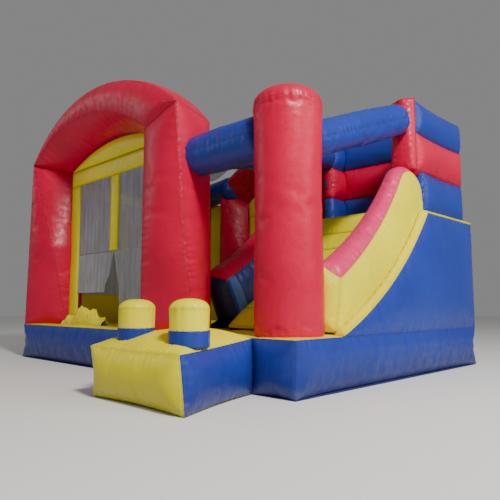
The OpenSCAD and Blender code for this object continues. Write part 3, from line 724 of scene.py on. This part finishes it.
def curve_share(y, r):
    """Share of the curve at which an arc of radius r about its centre reaches y."""
    a = math.asin((y - FOOT_AT[0] + SLIDE_R * math.sin(ANGLES[0])) / r)
    return (a - ANGLES[0]) / (ANGLES[1] - ANGLES[0])


def bolster(node, x0, x1, straight, round_r, lean, outer_h, lead, materials, slot):
    """Padded rail: its ridge leans in by lean, and its top panel comes down to outer_h on the far side.
    Its front end is upright, or square to the slide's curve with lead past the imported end.
    materials are for its left side, top, right side, bottom, front end and rear end."""
    a = ANGLES[1]
    t_start = curve_share(BOLSTER_FRONT - lead, SLIDE_R - BOLSTER_H)
    t_low = t_start if lead else curve_share(BOLSTER_FRONT, SLIDE_R)
    top_end = np.array(slide_point(1, BOLSTER_H)) + straight * np.array((math.cos(a), math.sin(a)))
    centre = top_end + round_r * np.array((math.sin(a), -math.cos(a)))
    n = 52
    curve = np.linspace(t_start, 1, n)
    over = np.linspace(0, 1, 15)[1:]

    def top(front_lift, lift):
        rise = [(t, front_lift + (lift - front_lift) * k / (n - 1)) for k, t in enumerate(curve)]
        r = round_r - 0.6 * (BOLSTER_H - lift)
        ends = [centre + r * np.array((math.cos(v), math.sin(v))) for v in (HALF_PI + a) * (1 - over)]
        ends = [np.array((p[0], p[1] - 0.4 * (BOLSTER_H - lift))) for p in ends]
        return [slide_point(t, h) for t, h in rise] + ends

    lows = [slide_point(t, 0.002) for t in np.linspace(t_low, 1, n)]
    back_end = np.array((centre[0] + round_r, CREST_Z + 0.002))
    lows += [tuple(CREST_AT + v * (back_end - CREST_AT)) for v in over]
    ridge, shoulder = top(BOLSTER_H, BOLSTER_H), top(outer_h, BOLSTER_H - 0.05)
    sides = ((x0, lows), (x0 + lean, ridge), (x1, shoulder), (x1, lows))
    corners = [np.array([(x, *p) for p in points]) for x, points in sides]
    fabric = Fabric()
    cell(fabric, corners, (14, 12), (0.05, 0.045, 0.045, 0.0), materials, (0.08, 0.02))
    fabric.cover(node, slot, air=FIRM)


def striped_side(share):
    """Blue with a light stripe across it near the front end."""
    return SKY if 0.012 < share < 0.055 else BLUE


# the right bolster's top takes the pink copy of the red, a painted highlight
RIGHT_COLOURS = [RED, RED_LIT_TOP, YELLOW, RED, YELLOW, RED]
# the left bolster's front end takes the darker copy of the blue, painted shade
LEFT_COLOURS = [BLUE, RED, striped_side, BLUE, BLUE_SHADED, BLUE]
bolster("bolster_right", LANE_RIGHT, 2.36, 0.06, 0.29, 0.13, 0.40, 0.0, RIGHT_COLOURS, "vinyl_red")
bolster("bolster_left", BODY_LEFT, LANE_LEFT, 0.0, 0.22, 0.02, 0.47, 0.07, LEFT_COLOURS, "vinyl_blue")

LANE_CELLS = 7
lane = Fabric()
for i in range(LANE_CELLS):
    t0, t1 = [0.035 + 0.965 * (i + e) / LANE_CELLS for e in (0.004, 0.996)]
    rise = [0.1 * min(1, 0.1 + 5 * t) for t in (t0, t1)]
    ring = [slide_point(t0, 0), slide_point(t1, 0), slide_point(t1, rise[1]), slide_point(t0, rise[0])]
    corners = [line((1.001, *p), (2.049, *p), 30) for p in ring]
    cell(lane, corners, (9, 4), (0.0, 0.0, 0.022, 0.0), [YELLOW] * 4, (0.0, 0.0))
lane.cover("slide_lane", "vinyl_yellow")


def slide_top(x, t0):
    """Line along the slide's curve, then along its level top to the back."""
    level_top = line((x, CREST_AT[0], CREST_Z), (x, back, CREST_Z), 36)
    return np.concatenate([[(x, *slide_point(t)) for t in np.linspace(t0, 1, 61)], level_top[1:]])


def slide_side(node, x, out, bulge, air):
    """Flat side of the slide's body: the curve, then the level top, down to the base."""
    n = 84
    top = slide_top(x, 0)
    low = line((x, FOOT_AT[0], base_top + 0.001), (x, back, base_top + 0.001), n)
    rear = line(low[-1], top[-1], 36)
    start = np.repeat(low[:1], 37, axis=0)
    fabric = Fabric()
    fabric.patch(low, resample(top, n), start, rear, bulge, BLUE, (out, 0, 0), FLAT_SPREAD)
    fabric.cover(node, "vinyl_blue", 0.8, air)


def upright_edges(low, high, y):
    """The lower and upper edges of an upright panel at y."""
    return [((low.x, y, z), (high.x, y, z)) for z in (low.z, high.z)]


FLAT_SPREAD = 0.35
slide_side("slide_side_right", right, 1, 0.045, SOFT)
slide_side("slide_side_left", BODY_LEFT, -1, 0.02, 0.0)
low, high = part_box("slide_back_panel")
fabric = Fabric()
quad(fabric, *upright_edges(low, high, back), (50, 36), 0.045, BLUE, (0, 1, 0), FLAT_SPREAD)
fabric.cover("slide_back_panel", "vinyl_blue", 0.8, name="slide_back_cover")

strip_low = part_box("slide_edge_strip")[0]
path = slide_top(0, 0.01)
fabric = Fabric()
ring = ((strip_low.x, -0.005), (right, -0.005), (right, 0.018), (strip_low.x, 0.018))
corners = [path + (x, 0, z) for x, z in ring]
cell(fabric, corners, (5, 3), (0.0, 0.012, 0.014, 0.0), [YELLOW] * 4, (0.004, 0.004))
fabric.cover("slide_edge_strip", "vinyl_yellow", 0.8, name="slide_edge_cover")

low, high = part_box("platform")
fabric = Fabric()
for x0, y0, x1, y1 in ((1.001, 0.58, 2.049, 1.439), (0.655, low.y, 1.0, 1.149), (0.80, 1.15, 1.0, 1.439)):
    box_cell(fabric, (x0, y0, low.z), (x1, y1, high.z), 0, 0.04, [0.0, 0.006, 0.012, 0.006], [YELLOW] * 6,
             (0.006, 0.006))
fabric.cover("platform", "vinyl_yellow", 0.9)

# ---------- climbing ramp ----------

low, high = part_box("climb_ramp")
ring = [(low.x, low.z), (high.x, low.z), (high.x, high.z), (low.x + 0.02, low.z + 0.03)]
corners = [line((x, low.y, z), (x, high.y, z), steps(high.y - low.y, 0.04)) for x, z in ring]
fabric = Fabric()
cell(fabric, corners, (16, 22), (0.0, 0.0, 0.045, 0.0), [RED] * 4, (0.03, 0.03))
fabric.cover("climb_ramp", "vinyl_red")
fabric = Fabric()
STEP_COUNT = 4
for i in range(1, STEP_COUNT + 1):
    share = i / (STEP_COUNT + 1)
    x, z = low.x + (high.x - low.x) * share - 0.012, low.z + (high.z - low.z) * share + 0.012
    tube(fabric, (x, low.y + 0.06, z), (x, high.y - 0.06, z), 0.062, BLUE, (0.03, 0.03), 24, 2)
fabric.cover("climb_steps", "vinyl_blue", name="climb_step_covers")

# ---------- netting ----------

TAPE = 0.007
PITCH = 0.012
TAPE_T = 0.0006
STRIPE = 0.05


def strip(net, path, half, up, tone_at=0):
    """Thin tape along a path; half reaches from its middle to one edge, and up is its thickness."""
    points, faces, mats = net
    start = len(points)
    for point in path:
        left_at, right_at = point - half, point + half
        points.extend((left_at, right_at, right_at + up, left_at + up))
    for a in range(start, start + 4 * (len(path) - 1), 4):
        faces.extend([a + i, a + (i + 1) % 4, a + 4 + (i + 1) % 4, a + 4 + i] for i in range(4))
    last = start + 4 * (len(path) - 1)
    faces.extend(([start + 3, start + 2, start + 1, start], [last, last + 1, last + 2, last + 3]))
    mats.extend([tone_at] * (len(faces) - len(mats)))


def tone(k):
    """Which of the two tones tape k has, in stripes."""
    return int((k + 0.5) * PITCH / STRIPE) % 2


def netting_piece(name, node, net):
    points, faces, mats = net
    mesh = bpy.data.meshes.new(name)
    mesh.from_pydata([tuple(p) for p in points], [], faces)
    mesh.materials.append(NET)
    mesh.materials.append(NET_LIGHT)
    mesh.polygons.foreach_set("material_index", mats)
    made = bpy.data.objects.new(name, mesh)
    scene.collection.objects.link(made)
    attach(made, ROOT)
    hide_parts(node)


def net_panel(name, node, at, across, size):
    """Two crossed layers of flat tapes, the upright ones in stripes of two tones; size is (up, across)."""
    net = ([], [], [])
    at, up, across = (np.array(v, float) for v in (at, (0, 0, 1), across))
    for along, aside, long, wide in ((up, across, *size), (across, up, size[1], size[0])):
        over = np.cross(along, aside) * TAPE_T
        for k, offset in enumerate(np.arange(PITCH / 2, wide - TAPE / 2, PITCH)):
            start = at + offset * aside + over / 2
            strip(net, (start, start + long * along), -aside * TAPE / 2, over, tone(k) if along is up else 0)
    netting_piece(name, node, net)


X_AXIS, Y_AXIS = (1, 0, 0), (0, 1, 0)
DOOR_Y = -1.34
door_low, door_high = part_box("door_windows")
MULLION = (-0.90, -0.70)
for side, x0, x1 in (("left", door_low.x, MULLION[0]), ("right", MULLION[1], door_high.x)):
    size = (door_high.z - door_low.z, x1 - x0)
    net_panel("door_window_" + side, "door_windows", (x0, DOOR_Y, door_low.z), X_AXIS, size)
low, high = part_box("left_wall_nets")
LEFT_X = -2.25
LEFT_BARS = (-0.34, 0.56)
BAR_W = 0.16
left_edges = [low.y, LEFT_BARS[0], LEFT_BARS[0] + BAR_W, LEFT_BARS[1], LEFT_BARS[1] + BAR_W, high.y]
for i in range(3):
    y0, y1 = left_edges[2 * i:2 * i + 2]
    size = (high.z - low.z, y1 - y0)
    net_panel(f"left_wall_net_{i + 1}", "left_wall_nets", (LEFT_X, y0, low.z), Y_AXIS, size)
low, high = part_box("rear_wall_nets")
REAR_Y = 1.43
size = (high.z - low.z, high.x - low.x)
net_panel("rear_wall_net", "rear_wall_nets", (low.x, REAR_Y, low.z), X_AXIS, size)

ROOF_TAPE = 0.0048
ROOF_LEFT_Z = 2.925


def roof_at(s, v):
    """Point of the roof net: s from left to right, v from the front arch to the rear one."""
    dip = 0.15 * math.exp(-((s - 0.2) / 0.13) ** 2)
    ends = []
    for x1, y, z1, rise, low in ((0.70, -1.148, 2.600, 0.33, 0.0), (0.727, 1.146, 3.012, 0.15, dip)):
        z = ROOF_LEFT_Z + (z1 - ROOF_LEFT_Z) * s + 4 * rise * s * (1 - s) - low
        ends.append(np.array((LEFT_X + (x1 - LEFT_X) * s, y, z)))
    hang = 0.05 * math.sin(math.pi * v) * math.sin(math.pi * s)
    return ends[0] + (ends[1] - ends[0]) * v - np.array((0, 0, hang))


def roof_netting():
    """The roof's tapes: long ones front to back in two tones, and cross ones that follow its curve."""
    net = ([], [], [])
    width, depth = 3.09, 2.35
    up = np.array((0, 0, TAPE_T))
    for k in range(int(width / PITCH)):
        s = (k + 0.5) * PITCH / width
        side = roof_at(min(1, s + 0.01), 0.5) - roof_at(max(0, s - 0.01), 0.5)
        path = [roof_at(s, v) for v in np.linspace(0, 1, 13)]
        strip(net, path, side / np.linalg.norm(side) * ROOF_TAPE / 2, up, tone(k))
    for k in range(int(depth / PITCH)):
        v = (k + 0.5) * PITCH / depth
        strip(net, [roof_at(s, v) for s in np.linspace(0, 1, 33)], np.array((0, ROOF_TAPE / 2, 0)), up)
    netting_piece("roof_netting", "roof_net", net)


roof_netting()

# ---------- door and wall panels ----------


PANEL_T = 0.02
HEADER_T = 0.03
PANEL_GRID = 0.05


def panels(name, node, outlines, axis, at):
    """Flat vinyl panels, swollen front and back; outlines are (low, high) boxes in their plane."""
    fabric = Fabric()
    half = PANEL_T / 2
    for (u0, v0), (u1, v1) in outlines:
        nu, nv = steps(u1 - u0, PANEL_GRID), steps(v1 - v0, PANEL_GRID)

        def place(u, v, w):
            return (at + w, u, v) if axis == 0 else (u, at + w, v)

        for w, out in ((-half, -1), (half, 1)):
            near, far = ((place(u0, v, w), place(u1, v, w)) for v in (v0, v1))
            face = (out, 0, 0) if axis == 0 else (0, out, 0)
            quad(fabric, near, far, (nu, nv), 0.010, YELLOW, face)
        ring = [(u0, v0), (u1, v0), (u1, v1), (u0, v1), (u0, v0)]
        centre = np.array(place((u0 + u1) / 2, (v0 + v1) / 2, 0))
        for (a, b), (c, d) in zip(ring, ring[1:]):
            near, far = ((place(a, b, w), place(c, d, w)) for w in (-half, half))
            n = nu if b == d else nv
            quad(fabric, near, far, (n, 3), 0.0, YELLOW, np.mean(near, axis=0) - centre)
    fabric.cover(node, "vinyl_yellow", 0.3, name=name)


def arched_header(name, node, x0, x1, z0, centre_x, spring, top, y):
    """Panel under a crown, its upper edge following the crown's inner arc."""
    n = steps(x1 - x0, 0.04)
    half = (x1 - x0) / 2 + 0.001
    r = arc_radius(half, top - spring)
    fabric = Fabric()
    xs = line((x0,), (x1,), n)[:, 0]
    for w, out in ((-HEADER_T / 2, -1), (HEADER_T / 2, 1)):
        ys = np.full(n + 1, y + w)
        head = np.stack([xs, ys, top - r - 0.004 + np.sqrt(r * r - (xs - centre_x) ** 2)], axis=1)
        foot = np.stack([xs, ys, np.full(n + 1, z0)], axis=1)
        sides = [line(foot[e], head[e], steps(top - z0, 0.04)) for e in (0, -1)]
        fabric.patch(foot, head, *sides, 0.03, YELLOW, (0, out, 0))
    fabric.cover(node, "vinyl_yellow", 0.3, name=name)


STILE = 0.24
SILL_Z, WINDOW_Z, HEAD_Z, HEADER_Z = base_top + 0.001, 1.402, 2.38, 2.6
left_x, right_x = (corner.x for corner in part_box("door_frame"))
arched_header("door_header_panel", "door_frame", left_x, right_x, HEADER_Z, -0.775, 2.60, 2.847, DOOR_Y)
panels("door_stiles", "door_frame",
       [((left_x, SILL_Z), (left_x + STILE, HEAD_Z)),
        ((right_x - STILE, SILL_Z), (right_x, HEAD_Z)),
        ((MULLION[0] + 0.001, WINDOW_Z), (MULLION[1] - 0.001, HEAD_Z)),
        ((left_x, HEAD_Z), (right_x, HEADER_Z))], 1, DOOR_Y)
low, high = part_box("left_wall_frame")
net_low, net_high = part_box("left_wall_nets")
bars = [((y, net_low.z), (y + BAR_W, net_high.z)) for y in LEFT_BARS]
panels("left_wall_panels", "left_wall_frame",
       [((low.y, low.z), (high.y, net_low.z)), ((low.y, net_high.z), (high.y, high.z)),
        ((low.y, net_low.z), (net_low.y, net_high.z)), ((net_high.y, net_low.z), (high.y, net_high.z)),
        *bars], 0, LEFT_X)
low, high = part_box("rear_wall_frame")
net_low, net_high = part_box("rear_wall_nets")
leg_x, rear_l = (corner.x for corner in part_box("rear_leg_left"))
rear_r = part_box("rear_leg_right")[0].x
post_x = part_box("back_left_post")[1].x + 0.012
arched_header("rear_header_panel", "rear_wall_frame", rear_l, rear_r, net_high.z, -0.51, 2.43, 2.647, REAR_Y)
panels("rear_wall_panels", "rear_wall_frame",
       [((rear_l, low.z), (rear_r, net_low.z)), ((rear_l, net_low.z), (net_low.x, net_high.z)),
        ((net_high.x, net_low.z), (rear_r, net_high.z)), ((post_x, low.z), (leg_x, 2.498))], 1, REAR_Y)

# ---------- door flaps and sill cloth ----------


FLAP_TOP = 1.395


def flap(name, node, x, hem_z, slit):
    """Hanging net flap between its straight outer edge at x and the slit, both from the hem up."""
    n, across = 24, 16
    outer = line((x, DOOR_Y, hem_z), (x, DOOR_Y, FLAP_TOP), n)
    inner = resample([(slit_x, DOOR_Y, z) for slit_x, z in slit], n)
    hem, head = (line(outer[e], inner[e], across) for e in (0, -1))
    fabric = Fabric()
    fabric.patch(outer, inner, hem, head, 0.006, NET, (0, -1, 0))
    made = fabric.build(name, "netting", [node], body=node, merge=1e-5)
    wave = coordinates(made.data)
    drop = (FLAP_TOP - wave[:, 2]) / 0.5
    wave[:, 1] += 0.010 * drop * np.sin(wave[:, 0] * 34)
    wave[:, 1] += 0.004 * np.sin(wave[:, 2] * 21) * np.minimum(1, drop)
    made.data.vertices.foreach_set("co", wave.ravel())


LEFT_SLIT = [(-1.0, 0.88), (-0.985, 0.96), (-0.90, 1.10), (-0.825, 1.34), (-0.803, FLAP_TOP)]
RIGHT_SLIT = [(-0.64, 0.53), (-0.67, 0.88), (-0.72, 1.10), (-0.775, 1.33), (-0.797, FLAP_TOP)]
flap("door_flap_net_left", "door_flap_left", -1.694, 0.88, LEFT_SLIT)
right_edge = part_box("door_flap_right")[1].x
flap("door_flap_net_right", "door_flap_right", right_edge, 0.53, RIGHT_SLIT)

low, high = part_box("door_sill_cloth")
cloth_rng = np.random.default_rng(11)
CLOTH_N, CLOTH_M = 140, 26
u, v = np.meshgrid(np.linspace(0, 1, CLOTH_N), np.linspace(0, 1, CLOTH_M), indexing="ij")
folds = np.zeros_like(u)
for size, height in ((4, 0.026), (9, 0.016), (21, 0.007)):
    turn, skew = cloth_rng.uniform(0, 6.3), cloth_rng.uniform(-1.5, 1.5)
    phase = size * u * 3.14 + skew * v * 4 + turn + 0.8 * np.sin(3 * v + size * u)
    folds += height * (1 - np.abs(np.sin(phase)) * 2)
hump = np.sin(math.pi * np.clip(v, 0, 1)) ** 0.6 * (0.6 + 0.4 * np.sin(math.pi * u) ** 0.3)
cloth_x = low.x + (high.x - low.x) * u + 0.006 * np.sin(40 * v + 9 * u)
cloth_y = low.y + 0.004 + (high.y - low.y - 0.008) * v
heap = 0.10 + 0.13 * np.exp(-((u - 0.55) / 0.30) ** 2)
cloth_z = low.z + 0.001 + hump * (heap + 1.3 * folds)
grid = np.stack([cloth_x, cloth_y, np.maximum(cloth_z, low.z + 0.001)], axis=2)
fabric = Fabric()
fabric.add_grid(grid, np.minimum(v, 1 - v) * 0.2 + 0.004, u * 1.07, YELLOW)
cloth = fabric.build("door_sill_cover", "vinyl_yellow", ["door_sill_cloth"])
ways = (grid, grid.transpose(1, 0, 2))

# ---------- fittings ----------

low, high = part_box("inflation_sleeve")
SLEEVE_R = (high.x - low.x) / 2
sleeve_at = ((low.x + high.x) / 2, (low.z + high.z) / 2)
fabric = Fabric()
turn = np.linspace(0, 2 * math.pi, 72, endpoint=False)
tie_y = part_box("sleeve_tie")[0].y + 0.023
for radius, outward in ((SLEEVE_R, True), (SLEEVE_R - 0.0045, False)):
    ys = line((low.y,), (high.y,), 60)[:, 0]
    waist = 1 - 0.10 * np.exp(-((ys - tie_y) / 0.05) ** 2)[:, None]
    flare = 0.012 * np.clip((ys - tie_y) / 0.1, 0, 1)[:, None] * np.sin(13 * turn)[None]
    crimp = 0.006 * np.exp(-((ys - tie_y) / 0.09) ** 2)[:, None] * np.sin(24 * turn)[None]
    r = np.minimum(radius * waist + flare + crimp, radius)
    grid = np.stack([sleeve_at[0] + r * np.cos(turn)[None], np.repeat(ys[:, None], len(turn), axis=1),
                     sleeve_at[1] + r * np.sin(turn)[None]], axis=2)
    grid[:, :, 2] = np.maximum(grid[:, :, 2], 0.004)
    gap = np.minimum(ys - ys[0], ys[-1] - ys)[:, None] + 0 * r
    fabric.add_grid(grid, gap, radius * turn[None] + 0 * r, BLUE, flip=not outward, wrap=True)
fabric.build("inflation_sleeve_cover", "vinyl_blue", ["inflation_sleeve"])

low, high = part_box("zip_flap")
fabric = Fabric()
for y, out in ((low.y, -1), (high.y, 1)):
    quad(fabric, *upright_edges(low, high, y), (40, 8), 0.003, BLUE, (0, out, 0))
fabric.cover("zip_flap", "vinyl_blue", 0.2, body="zip_flap")

RINGS = ["anchor_ring_" + place for place in ("left_front", "left_back", "back_middle", "back_right")]
for material, nodes in ((BLUE, ("base_baffles", "slide_baffles")), (ZINC, ("zip_slider", *RINGS)),
                        (WEBBING, ("grab_handles", "sleeve_tie", "zip_tapes", "anchor_tabs"))):
    for node in nodes:
        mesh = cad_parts[node].data
        mesh.materials.clear()
        mesh.materials.append(material)

# ---------- air pressure ----------

PUFF_FRAMES = 20
PUFF_REACH = 0.016

def puff(made, pressure):
    """Lets air pressure settle the fabric between its seams; its slight slack gives it small folds."""
    before = coordinates(made.data)
    seam = np.empty(len(before))
    made.data.attributes["seam"].data.foreach_get("value", seam)
    held = made.vertex_groups.new(name="held")
    held.add([int(k) for k in np.flatnonzero(seam < 1e-3)], 1.0, "REPLACE")
    cloth = made.modifiers.new("puff", "CLOTH")
    settings = cloth.settings
    settings.vertex_group_mass = "held"
    settings.use_pressure = True
    settings.uniform_pressure_force = pressure
    settings.shrink_min = settings.shrink_max = -0.010
    settings.tension_stiffness = settings.compression_stiffness = 30
    settings.bending_stiffness = 1.5
    settings.quality = 5
    settings.effector_weights.gravity = 0
    cloth.collision_settings.use_collision = False
    cloth.point_cache.frame_end = PUFF_FRAMES
    for number in range(1, PUFF_FRAMES + 1):
        scene.frame_set(number)
    settled = made.evaluated_get(bpy.context.evaluated_depsgraph_get())
    after = coordinates(settled.data)
    made.modifiers.remove(cloth)
    made.vertex_groups.remove(held)
    move = after - before if np.isfinite(after).all() else np.zeros_like(before)
    size = np.linalg.norm(move, axis=1, keepdims=True)
    move *= PUFF_REACH * np.tanh(size / PUFF_REACH) / np.maximum(size, 1e-9)
    settled_at = before + move
    settled_at[:, 2] = np.maximum(settled_at[:, 2], np.minimum(before[:, 2], 0.004))
    made.data.vertices.foreach_set("co", settled_at.ravel())
    made.data.update()


for name, pressure in PRESSURES.items():
    puff(bpy.data.objects[name], pressure)
scene.frame_set(1)

# ---------- floor ----------

bpy.ops.mesh.primitive_plane_add(size=60, location=(0, 0, -0.001))
ground = bpy.context.active_object
ground.name = "studio_floor"
pale = Graph("studio_floor")
pale.set("Base Color", (0.82, 0.82, 0.81, 1))
pale.set("Roughness", 0.85)
ground.data.materials.append(pale.material)
